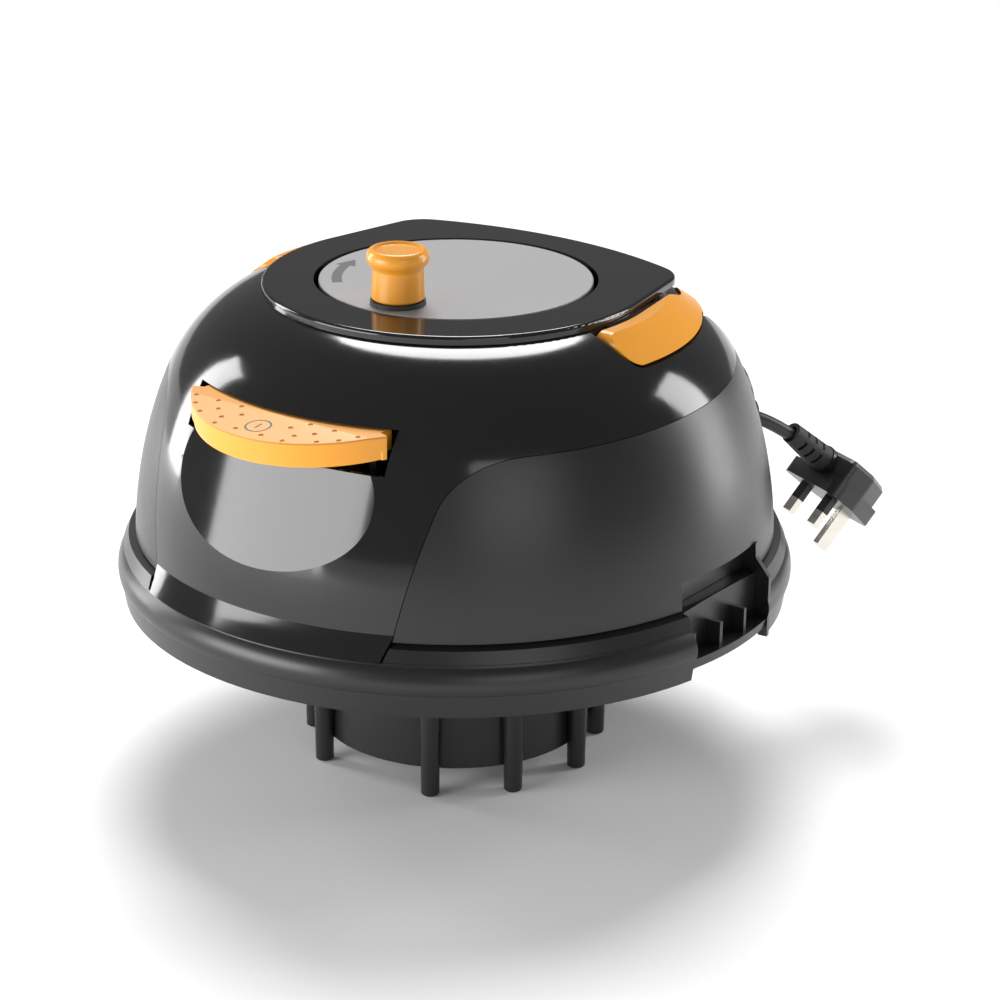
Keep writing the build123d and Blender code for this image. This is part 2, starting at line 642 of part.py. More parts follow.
def make_fan_casing():
    """Pressed casing of the fan with its eye below."""
    case = disc(FAN_R, FAN_Z, FAN_TOP) - disc(FAN_R - 1.6, FAN_Z + 1.6, FAN_TOP + 1)
    return case - disc(22.0, FAN_Z - 1, FAN_Z + 5)


def vanes(count, r0, r1, low, high, lean):
    """Straight blades set at an angle to the radius."""
    blade = block(0, (r1 - r0) / math.cos(math.radians(lean)), -0.7, 0.7, low, high)
    blade = Pos(r0, 0, 0) * Rot(0, 0, lean) * blade
    return around(blade, [360 / count * i for i in range(count)])


def make_impeller():
    """Fan wheel: two plates and nine blades between them, on a hub."""
    low, high = FAN_Z + 5.0, FAN_Z + 15.0
    wheel = ring(FAN_R - 5.0, 21.0, low, low + 1.2) + ring(FAN_R - 5.0, SHAFT_R, high - 1.2, high)
    wheel += ring(12.0, SHAFT_R, low, high)
    for blade in vanes(9, 15.0, FAN_R - 9.0, low + 0.6, high - 0.6, 28.0):
        wheel += blade
    return wheel


def make_diffuser():
    """Fixed vanes that lead the air from the wheel up into the motor."""
    low, high = FAN_Z + 18.0, FAN_TOP - 6.0
    plate = ring(FAN_R - 1.9, 14.0, low, low + 2.0)
    for blade in vanes(11, 18.0, FAN_R - 8.0, low + 1.0, high, -30.0):
        plate += blade
    return plate


def make_lower_bracket():
    """Plate between fan and motor that holds the lower bearing."""
    plate = ring(FAN_R - 1.9, SHAFT_R + 2.0, FAN_TOP - 5.5, FAN_TOP - 2.5)
    plate += ring(FAN_R, FAN_R - 12, FAN_TOP, FAN_TOP + 2.0) + ring(FAN_R - 1.9, FAN_R - 12, FAN_TOP - 3, FAN_TOP + 1)
    plate += ring(BEARING_R + 3.0, BEARING_R, FAN_TOP - 3.0, FAN_TOP - 2.5 + BEARING_T)
    port = block(26, 40, -6, 6, FAN_TOP - 8, FAN_TOP)
    for piece in around(port, [60 * i for i in range(6)]):
        plate -= piece
    return plate


def make_motor_frame():
    """Can around the field, open at the brushes, with the upper bearing's seat."""
    low = FAN_TOP + 2.0
    can = ring(FRAME_R, FRAME_R - FRAME_T, low, FRAME_TOP)
    can += ring(FRAME_R, BEARING_R + 3.0, FRAME_TOP - 4.0, FRAME_TOP)
    can += ring(BEARING_R + 3.5, BEARING_R, FRAME_TOP - 4.0 - BEARING_T, FRAME_TOP)
    window = block(FRAME_R - 8, FRAME_R + 8, -12, 12, COMM_Z - 8, FRAME_TOP - 8)
    for piece in around(window, (45, 135, 225, 315)):
        can -= piece
    port = block(20, FRAME_R - 4, -5, 5, FRAME_TOP - 5, FRAME_TOP + 1)
    for piece in around(port, (45, 135, 225, 315)):
        can -= piece
    for side in (0, 180):
        can -= Rot(0, 0, side) * block(FRAME_R - 8, FRAME_R + 8, -7.3, 7.3, COMM_Z + 0.2, COMM_Z + COMM_H - 0.2)
    return can


def make_field_stack():
    """Laminated field with two pole faces."""
    stack = ring(STACK_R, STACK_BORE_R, STACK_Z, STACK_Z + STACK_H)
    slot = block(STACK_BORE_R - 2, STACK_R - 6, -13, 13, STACK_Z - 1, STACK_Z + STACK_H + 1)
    for side in (90, 270):
        stack -= Rot(0, 0, side) * slot
    return stack


def make_field_coils():
    """End turns of the two field coils, above and below the stack."""
    coil = ring(STACK_R - 4.0, STACK_BORE_R + 3.0, 0, 7.0) - block(-FAR, FAR, -6, 6, -1, 8)
    halves = []
    for z in (STACK_Z - 7.6, STACK_Z + STACK_H + 0.6):
        halves += (Pos(0, 0, z) * coil).solids()
    return Compound(children=halves)


def make_armature():
    """Slotted armature core."""
    core = ring(ROTOR_R, SHAFT_R, STACK_Z + 1, STACK_Z + STACK_H - 1)
    slot = block(ROTOR_R - 9, ROTOR_R + 1, -1.6, 1.6, STACK_Z, STACK_Z + STACK_H)
    for piece in around(slot, [30 * i for i in range(12)]):
        core -= piece
    return core


def make_armature_windings():
    """End turns of the armature, one bundle at each face of the core."""
    low = turned([(SHAFT_R + 1, 0), (ROTOR_R - 5, 0), (ROTOR_R - 2, 3), (ROTOR_R - 3, 7), (SHAFT_R + 3, 7)])
    high = mirror(low, Plane.XY)
    bundles = (Pos(0, 0, STACK_Z + STACK_H - 1) * low).solids() + (Pos(0, 0, STACK_Z + 1) * high).solids()
    return Compound(children=bundles)


def make_commutator():
    """Copper drum with its bars parted by slots."""
    drum = ring(COMM_R, SHAFT_R, COMM_Z - 1.0, COMM_Z + COMM_H)
    slot = block(COMM_R - 1.2, COMM_R + 1, -0.3, 0.3, COMM_Z + 2.0, COMM_Z + COMM_H + 1)
    for piece in around(slot, [15 * i for i in range(24)]):
        drum -= piece
    return drum


def make_bearing(low):
    """Ball bearing as two rings with balls between them."""
    outer = ring(BEARING_R, BEARING_R - 2.0, low, low + BEARING_T)
    inner = ring(SHAFT_R + 2.0, SHAFT_R + RUN, low, low + BEARING_T)
    race_r = (BEARING_R + SHAFT_R) / 2
    ball = Pos(race_r, 0, low + BEARING_T / 2) * Sphere((BEARING_R - SHAFT_R - 4.0) / 2 - 0.02)
    pieces = outer.solids() + inner.solids()
    for piece in around(ball, [45 * i for i in range(8)]):
        pieces += piece.solids()
    return Compound(children=pieces)


def brush_pair(shape):
    """The shape and its half-turn about the axis, as one node."""
    return Compound(children=shape.solids() + (Rot(0, 0, 180) * shape).solids())


def make_brush_holders():
    """Brass boxes that guide the brushes."""
    mid = COMM_Z + COMM_H / 2
    box = block(COMM_R + 3, FRAME_R + 5, -6.8, 6.8, mid - 5.6, mid + 5.6)
    box -= block(COMM_R + 2, FRAME_R + 3, -4.6, 4.6, mid - 3.6, mid + 3.6)
    return brush_pair(box)


def make_brushes():
    """Carbon brushes on the commutator."""
    mid = COMM_Z + COMM_H / 2
    brush = block(COMM_R - 1, COMM_R + 20, -4.4, 4.4, mid - 3.4, mid + 3.4) - disc(COMM_R + 0.08, 0, FAR)
    return brush_pair(brush)


# ---- cable reel and winder
REEL_TOP = TOP_Z - REEL_DROP
WIND_H = 51.0
REEL_LOW = REEL_TOP - 2 * REEL_FLANGE_T - WIND_H
SPINDLE_TOP = REEL_TOP - 2.0


def make_reel_drum():
    """Drum with two flanges and a hub that turns on the spindle."""
    hub_r = SPINDLE_R + 5.0
    body = ring(REEL_CORE_R, REEL_CORE_R - 2.5, REEL_LOW, REEL_TOP)
    body += ring(REEL_FLANGE_R, SPINDLE_R + RUN, REEL_TOP - REEL_FLANGE_T, REEL_TOP)
    body += ring(REEL_FLANGE_R, SPINDLE_R + RUN, REEL_LOW, REEL_LOW + REEL_FLANGE_T)
    body += ring(hub_r, SPINDLE_R + RUN, REEL_LOW, REEL_TOP)
    rib = block(hub_r - 1, REEL_CORE_R - 1, -1.1, 1.1, REEL_LOW + 1, REEL_TOP - 1)
    for piece in around(rib, [60 * i for i in range(6)]):
        body += piece
    hole = Pos((REEL_FLANGE_R + REEL_WOUND_R) / 2 - 20, 0, 0) * Cylinder(6.0, FAR * 2)
    return body - [piece & block(-FAR, FAR, -FAR, FAR, REEL_TOP - 5, FAR) for piece in around(hole, (30, 150, 270))]


def make_wound_cable():
    """The cable's turns on the drum, as one solid of their outer shape."""
    low, high = REEL_LOW + REEL_FLANGE_T + 0.2, REEL_TOP - REEL_FLANGE_T - 0.2
    round_r = CABLE_D / 2
    return turned([(REEL_CORE_R + 0.1, low), (REEL_WOUND_R - round_r, low), (REEL_WOUND_R, low + round_r),
                   (REEL_WOUND_R, high - round_r), (REEL_WOUND_R - round_r, high), (REEL_CORE_R + 0.1, high)])


def make_slip_rings():
    """Three copper rings under the lower flange."""
    z = REEL_LOW - RING_T
    rings = []
    for r in (18.0, 25.0, 32.0):
        rings += ring(r + 1.8, r - 1.8, z, REEL_LOW).solids()
    return Compound(children=rings)


def make_contact_block():
    """Block on the hood with three sprung contacts that face the slip rings."""
    base = block(14, 36, -8, 8, HOOD_TOP, HOOD_TOP + 5.0)
    for r in (18.0, 25.0, 32.0):
        base += block(r - 1.2, r + 1.2, -5, 5, HOOD_TOP + 4, REEL_LOW - RING_T - 0.15)
    return base


def make_winder_disc():
    """Grey disc on top, with a dished boss down to the drum and the seat of the crank's pin."""
    plate = disc(DISC_R, TOP_Z - DISC_T, TOP_Z)
    rim = plate.edges().filter_by(lambda e: abs(e.center().Z - TOP_Z) < 0.01)
    plate = fillet(rim, 0.6)
    plate += ring(REEL_CORE_R - 6.0, REEL_CORE_R - 9.0, REEL_TOP, TOP_Z - DISC_T + 1)
    seat = Pos(*polar(KNOB_ORBIT, KNOB_ANGLE, TOP_Z - DISC_T - 5.0)) * Cylinder(
        KNOB_PIN_R + 3.0, 6.0, align=(Align.CENTER, Align.CENTER, Align.MIN))
    plate += seat
    bore = Pos(*polar(KNOB_ORBIT, KNOB_ANGLE, TOP_Z)) * Cylinder(KNOB_PIN_R, 40)
    return plate - bore - arrow_shape(0.25)


def arrow_shape(depth):
    """The turning arrow: a curved band with a head, let into the disc."""
    a0, a1 = ARROW_FROM, ARROW_TO + 11.0
    inner, outer = ARROW_R - ARROW_W / 2, ARROW_R + ARROW_W / 2
    mid = (a0 + a1) / 2
    band = make_face([
        ThreePointArc(polar(inner, a0), polar(inner, mid), polar(inner, a1)),
        Line(polar(inner, a1), polar(outer, a1)),
        ThreePointArc(polar(outer, a1), polar(outer, mid), polar(outer, a0)),
        Line(polar(outer, a0), polar(inner, a0)),
    ])
    head = make_face(Polyline([polar(inner - 3.0, a1), polar(ARROW_R, ARROW_TO), polar(outer + 3.0, a1)], close=True))
    flat = band + head
    return Pos(0, 0, TOP_Z - depth) * extrude(flat, 1.0) & block(-FAR, FAR, -FAR, FAR, 0, TOP_Z + 0.0)


def knob_place(z):
    """A place on the crank's axis."""
    return Pos(*polar(KNOB_ORBIT, KNOB_ANGLE, z))


def make_knob_pin():
    """Steel pin of the crank, shouldered under its washer."""
    pin = Cylinder(KNOB_PIN_R, DISC_T + 5.0 + KNOB_H - 4.0, align=(Align.CENTER, Align.CENTER, Align.MIN))
    return knob_place(TOP_Z - DISC_T - 5.0) * pin


def make_knob_collar():
    """Dark collar on the disc at the foot of the crank knob."""
    collar = ring(KNOB_R + 0.6, KNOB_PIN_R, 0, 2.2)
    return knob_place(TOP_Z) * collar


def make_crank_knob():
    """Knob with a waisted body, a rounded rim and a slightly sunken top."""
    low, high = 2.5, KNOB_H
    rim_low = high - 7.6
    edges = [
        Line((KNOB_PIN_R + RUN, 0, low), (KNOB_R - 0.8, 0, low)),
        Line((KNOB_R - 0.8, 0, low), (KNOB_R, 0, low + 0.8)),
        Line((KNOB_R, 0, low + 0.8), (KNOB_R - 0.5, 0, rim_low - 2.2)),
        ThreePointArc((KNOB_R - 0.5, 0, rim_low - 2.2), (KNOB_R + 0.4, 0, rim_low - 0.5),
                      (KNOB_RIM_R - 0.6, 0, rim_low + 0.9)),
        ThreePointArc((KNOB_RIM_R - 0.6, 0, rim_low + 0.9), (KNOB_RIM_R, 0, rim_low + 3.6),
                      (KNOB_RIM_R - 0.9, 0, high - 1.2)),
        ThreePointArc((KNOB_RIM_R - 0.9, 0, high - 1.2), (KNOB_RIM_R - 2.0, 0, high - 0.2),
                      (KNOB_RIM_R - 3.4, 0, high)),
        Line((KNOB_RIM_R - 3.4, 0, high), (KNOB_RIM_R - 4.6, 0, high - 1.1)),
        Line((KNOB_RIM_R - 4.6, 0, high - 1.1), (0, 0, high - 1.1)),
        Line((0, 0, high - 1.1), (0, 0, high - 3.6)),
        Line((0, 0, high - 3.6), (KNOB_PIN_R + RUN, 0, high - 3.6)),
        Line((KNOB_PIN_R + RUN, 0, high - 3.6), (KNOB_PIN_R + RUN, 0, low)),
    ]
    return knob_place(TOP_Z) * revolve(make_face(edges), Axis.Z)


# ---- switch paddle
PADDLE_TOP = TOP_Z - PADDLE_DROP
PADDLE_PIN_Y = -PADDLE_BACK + 6.0
SWITCH_Y = -PADDLE_BACK
LUG_R = 4.4
PADDLE_PIN_Z = PADDLE_TOP - 9.0
SPRING_Y = -PADDLE_BACK - 9.0


def paddle_plan(inset=0.0):
    """The paddle's crescent seen from above, and the straight part inside the cap."""
    front_y = -(PADDLE_REACH - inset)
    centre_y = -(PADDLE_REACH - PADDLE_FRONT_R)
    half = PADDLE_HALF - inset
    corner_y = centre_y - math.sqrt((PADDLE_FRONT_R - inset) ** 2 - half ** 2)
    neck = half - 5.0
    return make_face([
        ThreePointArc((-half, corner_y), (0, front_y), (half, corner_y)),
        Polyline((half, corner_y), (neck, corner_y + 2.0), (neck, -PADDLE_BACK), (-neck, -PADDLE_BACK),
                 (-neck, corner_y + 2.0), (-half, corner_y)),
    ])


def paddle_slab(inset, low, high):
    """The paddle's plan as a prism between two heights below its top."""
    return Pos(0, 0, PADDLE_TOP - low) * extrude(paddle_plan(inset), low - high)


def paddle_slope(lift):
    """All that lies above the paddle's sloping top face, raised or lowered by a lift."""
    above = Box(FAR, FAR, FAR, align=(Align.CENTER, Align.CENTER, Align.MIN))
    return Pos(0, -side_r(SHOULDER_Z) + 6.0, PADDLE_TOP + lift) * Rot(PADDLE_SLOPE, 0, 0) * above


DIMPLE_ROWS = {156.0: (7.5, 20.0), 149.5: (21.5, 34.5), 143.5: (14.5, 28.5, 42.5), 136.5: (20.5, 34.5, 48.0)}


def dimple_places():
    """Dimples in rows across the paddle, kept clear of the power symbol in the middle."""
    return [(side * x, -reach) for reach, row in DIMPLE_ROWS.items() for x in row for side in (1, -1)]


def make_switch_paddle():
    """Paddle with a sloping dimpled top, a lip around its foot, hollow below, and hinge lugs."""
    body = paddle_slab(0, PADDLE_T + 5, -6) - paddle_slope(0)
    foot = paddle_slope(0).moved(Location((0, 0, -PADDLE_T)))
    body &= foot & block(-FAR, FAR, -FAR, FAR, 0, PADDLE_TOP)
    lip_cut = paddle_slab(-2, PADDLE_T + 8, -8) - paddle_slab(1.1, PADDLE_T + 8, -8)
    lip_cut -= paddle_slope(0).moved(Location((0, 0, -PADDLE_T + PADDLE_LIP)))
    body -= lip_cut & block(-FAR, FAR, -FAR, -side_r(PADDLE_TOP) + 6, 0, FAR)
    hollow = paddle_slab(3.6, PADDLE_T + 8, -8) - paddle_slope(-3.0)
    body -= hollow & block(-FAR, FAR, -FAR, -PADDLE_BACK - 3.0, 0, FAR)
    for side in (1, -1):
        lug = rod_x(LUG_R, 30, 36, PADDLE_PIN_Y, PADDLE_PIN_Z) + block(
            30, 36, -PADDLE_BACK - 2, PADDLE_PIN_Y, PADDLE_PIN_Z - LUG_R + 1.5, PADDLE_PIN_Z + LUG_R)
        body += lug if side > 0 else mirror(lug, Plane.YZ)
    body -= rod_x(PADDLE_PIN_R + RUN, -FAR / 2, FAR / 2, PADDLE_PIN_Y, PADDLE_PIN_Z)
    for x, y in dimple_places():
        body -= Pos(x, y, min(paddle_height(y), PADDLE_TOP) + 1.0) * Sphere(DIMPLE_R)
    return body - symbol_shape(0.4)


def paddle_height(y):
    """Height of the paddle's top face at a distance in front."""
    return PADDLE_TOP + (y + side_r(SHOULDER_Z) - 6.0) * math.tan(math.radians(PADDLE_SLOPE))


def symbol_shape(depth):
    """The power symbol's ring and bar, let into the sloping face."""
    flat = Circle(6.4) - Circle(5.4) + Rectangle(1.1, 5.0)
    y = -149.0
    place = Pos(0, y, paddle_height(y)) * Rot(PADDLE_SLOPE, 0, 0)
    return place * Pos(0, 0, -depth) * extrude(flat, depth)


def make_switch_bracket():
    """Bracket inside the cap that holds the paddle's pin, its spring and the switch."""
    low = PADDLE_TOP - 31.0
    back = PADDLE_PIN_Y + 9.0
    plate = block(-46, 46, SPRING_Y - 6, back, low, low + 3.0)
    for side in (1, -1):
        for x in (38.0, 24.5):
            cheek = block(x, x + 4, PADDLE_PIN_Y - LUG_R, back, low, PADDLE_PIN_Z + LUG_R)
            plate += cheek if side > 0 else mirror(cheek, Plane.YZ)
    plate -= rod_x(PADDLE_PIN_R, -FAR / 2, FAR / 2, PADDLE_PIN_Y, PADDLE_PIN_Z)
    for side in (1, -1):
        plate += Pos(side * 12, SPRING_Y, low + 2) * Cylinder(2.4, 6, align=(Align.CENTER, Align.CENTER, Align.MIN))
    leg = block(28, 34, back - 3, back, WEB_Z, low + 1)
    plate += leg + mirror(leg, Plane.YZ)
    return plate - block(-4, 4, SWITCH_Y - 12, SWITCH_Y + 8, low - 1, low + 4)


def make_paddle_pin():
    """Hinge pin of the paddle."""
    return rod_x(PADDLE_PIN_R, -43.5, 43.5, PADDLE_PIN_Y, PADDLE_PIN_Z)


SPRING_WIRE = 0.9
SPRING_TURNS = 5


def make_paddle_springs():
    """Two coil springs that lift the paddle."""
    low = PADDLE_TOP - 28.0 + SPRING_WIRE / 2
    high = PADDLE_TOP - 3.6 - SPRING_WIRE
    helix = Helix((high - low) / SPRING_TURNS, high - low, 4.2)
    coil = sweep(Plane(origin=helix @ 0, z_dir=helix % 0) * Circle(SPRING_WIRE / 2), path=helix)
    coils = []
    for side in (1, -1):
        coils += (Pos(side * 12, SPRING_Y, low) * coil).solids()
    return Compound(children=coils)


def make_switch_body():
    """Snap switch under the paddle."""
    low = PADDLE_TOP - 28.0
    body = block(-7, 7, SWITCH_Y - 14, SWITCH_Y + 8, low, low + 11)
    for y in (-10, 3):
        body += block(-1, 1, SWITCH_Y + y, SWITCH_Y + y + 4, low - 9, low + 1)
    return body - plunger_shape(0.15)


def plunger_shape(grow):
    """The switch's push button, grown by a clearance."""
    low = PADDLE_TOP - 28.0 + 6.0
    high = PADDLE_TOP - 3.3
    return block(-2.6 - grow, 2.6 + grow, SWITCH_Y - 12.6 - grow, SWITCH_Y - 7.4 + grow, low - grow * 14, high)


# ---- handle
def make_carry_handle():
    """Bail that lies around the rear shoulder: two arms, and a lower grip behind."""
    band = (handle_core(0) - handle_core(HANDLE_T) - inside_handle()) & handle_side(0)
    band = band.solids().sort_by(SortBy.VOLUME)[-1]
    for bore in mirrored(handle_pin()):
        band -= bore
    return band


def handle_pin():
    """Pivot pin at +X, fixed in the handle."""
    return rod_x(HANDLE_PIN_R, HANDLE_IN_R - BOSS_L + 1.5, HANDLE_IN_R + 9.0, HANDLE_PIVOT_Y, PIVOT_Z)


def make_handle_bushes():
    """Bushes in the cap on which the handle turns."""
    bush = rod_x(BUSH_R, HANDLE_IN_R - BOSS_L, BOSS_END - 0.2, HANDLE_PIVOT_Y, PIVOT_Z)
    bush -= rod_x(HANDLE_PIN_R + RUN, 0, FAR, HANDLE_PIVOT_Y, PIVOT_Z)
    return Compound(children=[s for piece in mirrored(bush) for s in piece.solids()])


# ---- cable outlet, stub and plug
GLAND_PROUD = 1.5
cable_exit = outlet_plane(GLAND_PROUD)
hang = Vector(1, 0, 0).rotate(Axis.Y, PLUG_DIP).rotate(Axis.Z, PLUG_YAW)
bend_point = cable_exit.origin + outlet_out * STUB_RUN
plug_end = bend_point + hang * PLUG_RUN
pins_way = Vector(1, 0, 0).rotate(Axis.Y, PLUG_DIP + 90).rotate(Axis.Z, PLUG_YAW)
GLAND_IN = 14.0


def bend_radii(points):
    """A radius for each bend: as wide as its shorter straight run allows."""
    radii = []
    for before, at, after in zip(points, points[1:], points[2:]):
        first, second = at - before, after - at
        half_turn = math.radians(first.get_angle(second)) / 2
        radii.append(0.45 * min(first.length, second.length) / math.tan(half_turn))
    return radii


def cable(points, name):
    """A round cable along straight runs with tangent bends."""
    radii = bend_radii(points)
    route = FilletPolyline(*points, radius=radii)
    print(name, "bend radii", [round(r, 1) for r in radii], "length", round(route.length, 1))
    return sweep(Plane(origin=route @ 0, z_dir=route % 0) * Circle(CABLE_D / 2), path=route)


def make_mains_cord():
    """The free end of the cable between gland and plug."""
    return cable([cable_exit.origin, bend_point, plug_end], "mains_cord")


def make_inner_lead():
    """The cable inside, from the gland under the grip well and around to the winding."""
    start = outlet_plane(-GLAND_IN).origin
    second = start - outlet_out * 30.0
    lead_r = REEL_WOUND_R + CABLE_D / 2 + 1.5
    wound_z = REEL_LOW + REEL_FLANGE_T + CABLE_D + 2.0
    last = Vector(lead_r, -8.0, wound_z)
    third = Vector(lead_r + 7.5, 52.0, (second.Z + wound_z) / 2 - 1.0)
    return cable([start, second, third, last], "inner_lead")


def make_cable_gland():
    """Bush in the rear cover; the cable meets its two faces."""
    gland = outlet_plane(-GLAND_IN) * Cylinder(
        GLAND_R, GLAND_IN + GLAND_PROUD, align=(Align.CENTER, Align.CENTER, Align.MIN))
    rim = gland.edges().filter_by(GeomType.CIRCLE).sort_by(lambda e: (e.center() - outlet_point).dot(outlet_out))[-1]
    return chamfer(rim, 1.2)


def plug_plane():
    """Plug's own frame: +X away from the cable, +Z from the pins to the back; origin under the cable."""
    return Plane(origin=plug_end + pins_way * BOOT_HEIGHT, x_dir=hang, z_dir=pins_way * -1)


def make_plug_boot():
    """Ridged sleeve on the cable at the plug."""
    place = Plane(origin=plug_end, z_dir=hang * -1)
    boot = Cone(BOOT_ROOT_R, BOOT_R, BOOT_L, align=(Align.CENTER, Align.CENTER, Align.MIN))
    for i in range(3):
        z = BOOT_L * (0.28 + 0.22 * i)
        r = BOOT_ROOT_R + (BOOT_R - BOOT_ROOT_R) * z / BOOT_L
        groove = Cylinder(r + 1, 1.8) - Cylinder(r - 1.2, 1.8)
        boot -= Pos(0, 0, z) * (groove - Box(3.0, 40, 4) - Box(40, 3.0, 4))
    boot -= Cylinder(CABLE_D / 2, 3 * BOOT_L)
    return place * boot


def make_plug_body():
    """Plug body: wide at the cable, narrower at the earth pin, with a stepped back."""
    def outline(inset):
        half, tip = PLUG_W / 2 - inset, PLUG_TIP_W / 2 - inset
        x0, x1 = inset, PLUG_L - inset
        shape = make_face(Polyline([(x0, -half), (x0 + PLUG_L * 0.42, -half), (x1, -tip), (x1, tip),
                                    (x0 + PLUG_L * 0.42, half), (x0, half)], close=True))
        return fillet(shape.vertices(), PLUG_CORNER_R - inset)
    base = extrude(outline(0), PLUG_T * 0.42)
    upper = extrude(Pos(0, 0, PLUG_T * 0.42) * outline(2.6), PLUG_T * 0.58)
    upper = chamfer(upper.faces().sort_by(Axis.Z)[-1].edges(), 2.2)
    body = base + upper
    shoulder = Pos(0, 0, BOOT_HEIGHT) * Rot(0, 90, 0) * Cylinder(
        BOOT_ROOT_R + 0.6, 12, align=(Align.CENTER, Align.CENTER, Align.MIN))
    body += shoulder
    for x, y, w, t, l in pin_sockets():
        body -= Pos(x, y, 0) * Box(w, t, 2 * 8.0)
    return plug_plane() * body


def pin_sockets():
    """Place, size along the plug, size across, and reach of the three pins."""
    return [(PLUG_BACK, PIN_SPREAD / 2, PIN_T, PIN_W, PIN_L), (PLUG_BACK, -PIN_SPREAD / 2, PIN_T, PIN_W, PIN_L),
            (PLUG_BACK + PIN_SPREAD, 0, EARTH_W, PIN_T, EARTH_L)]


def plug_pin(x, y, w, t, reach):
    """One brass pin with a chamfered tip, seated in the body."""
    pin = Pos(x, y, 0) * block(-w / 2, w / 2, -t / 2, t / 2, -reach, 8.0)
    return chamfer(pin.faces().sort_by(Axis.Z)[0].edges(), 0.9)


def make_plug_pins():
    """The three pins."""
    pins = []
    for socket in pin_sockets():
        pins += (plug_plane() * plug_pin(*socket)).solids()
    live = [plug_sleeve(*socket) for socket in pin_sockets()[:2]]
    for i, sleeve in enumerate(live):
        pins[i] = (pins[i] - plug_plane() * sleeve).solids()[0]
    return Compound(children=pins)


def plug_sleeve(x, y, w, t, reach):
    """The insulating skin at the root of a live pin."""
    skin = 0.7
    outer = block(-w / 2, w / 2, -t / 2, t / 2, -SLEEVE_L, 0)
    inner = block(-w / 2 + skin, w / 2 - skin, -t / 2 + skin, t / 2 - skin, -SLEEVE_L - 1, 1)
    return Pos(x, y, 0) * (outer - inner)


def make_pin_sleeves():
    """Insulating skins on live and neutral."""
    return Compound(children=[s for socket in pin_sockets()[:2] for s in (plug_plane() * plug_sleeve(*socket)).solids()])


# ---- small parts
def make_spindle():
    """Fixed spindle of the reel, pressed into the hood's top."""
    return disc(SPINDLE_R, HOOD_TOP - HOOD_WALL, SPINDLE_TOP) + disc(SPINDLE_R + 3, HOOD_TOP, HOOD_TOP + 1.5)


def make_circlip():
    """Clip on the spindle over the upper flange."""
    clip = ring(SPINDLE_R + 3.0, SPINDLE_R, REEL_TOP + 0.3, REEL_TOP + 1.5)
    return clip - block(0, 20, -1.5, 1.5, REEL_TOP, REEL_TOP + 3)


def make_motor_shaft():
    """Shaft through fan, armature and commutator."""
    return disc(SHAFT_R, FAN_Z + 3.0, FRAME_TOP - 1.0)


def make_shaft_nut():
    """Nut under the fan wheel."""
    nut = extrude(Pos(0, 0, FAN_Z + 3.4) * RegularPolygon(8.0, 6), 1.6)
    return nut - disc(SHAFT_R, 0, FAR)


def make_lower_seal():
    """Foam ring between the duct's ledge and the fan casing."""
    return ring(FAN_R - 1.0, FAN_R - 14.0, SEAL_Z + 0.1, FAN_Z - 0.1)


def make_upper_seal():
    """Rubber ring between the motor and the hood."""
    return ring(FRAME_R - 6.0, FRAME_R - 18.0, FRAME_TOP + 0.1, HOOD_TOP - HOOD_WALL - 0.1)


def make_exhaust_foam():
    """Foam pad behind the louvres."""
    pad = dome(WALL + 1.0, LEDGE_Z - 1) - dome(WALL + 8.0, LEDGE_Z - 1)
    low, high = TOP_Z - COVER_BOTTOM_DROP + 5, TOP_Z - COVER_TOP_DROP - 5
    return pad & block(-COVER_HALF * 0.38, COVER_HALF * 0.38, 0, FAR, low, high)


def make_terminal_block():
    """Screw terminals on the pan, where the cable's cores reach the motor leads."""
    base = block(98, 116, -14, 14, WEB_Z, WEB_Z + 14)
    for y in (-9, 0, 9):
        base -= block(102, 112, y - 2.5, y + 2.5, WEB_Z + 9, WEB_Z + 20)
    return base


def make_hood_screws():
    """Four screws through hood, duct flange and pan."""
    place = Pos(HOOD_R + 5.5, 0, HOOD_LOW + 2.5)
    return Compound(children=[s for piece in around(place * screw(12.0), HOOD_SCREWS) for s in piece.solids()])


